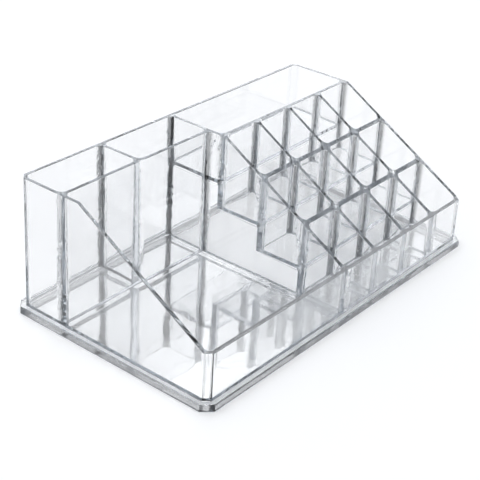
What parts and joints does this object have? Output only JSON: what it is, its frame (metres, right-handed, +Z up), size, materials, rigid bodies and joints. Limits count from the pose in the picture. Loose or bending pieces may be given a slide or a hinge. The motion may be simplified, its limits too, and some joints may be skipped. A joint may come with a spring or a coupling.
{
  "type": "storage organizer",
  "caption": "Clear sloped desktop organizer with rear bins, a raised tray, an open bay and stepped cells for lipsticks.",
  "frame": {"origin": "middle of the footprint, on the surface that the organizer stands on", "axes": "+X along the long side towards the lipstick cells, +Y to the high back, +Z up"},
  "size_m": [0.22, 0.127, 0.074],
  "materials": {
    "clear_plastic": "clear gloss"
  },
  "bodies": {
    "root": {"base_plate": "clear_plastic", "left_wall": "clear_plastic", "right_wall": "clear_plastic", "front_wall": "clear_plastic", "back_wall": "clear_plastic", "centre_wall": "clear_plastic", "bay_rear_wall": "clear_plastic", "rear_divider": "clear_plastic", "tier_rear_wall": "clear_plastic", "cross_wall_rear": "clear_plastic", "cross_wall_front": "clear_plastic", "cell_divider_1": "clear_plastic", "cell_divider_2": "clear_plastic", "cell_divider_3": "clear_plastic", "tray_floor": "clear_plastic", "rear_tread": "clear_plastic", "middle_tread": "clear_plastic"}
  },
  "joints": []
}
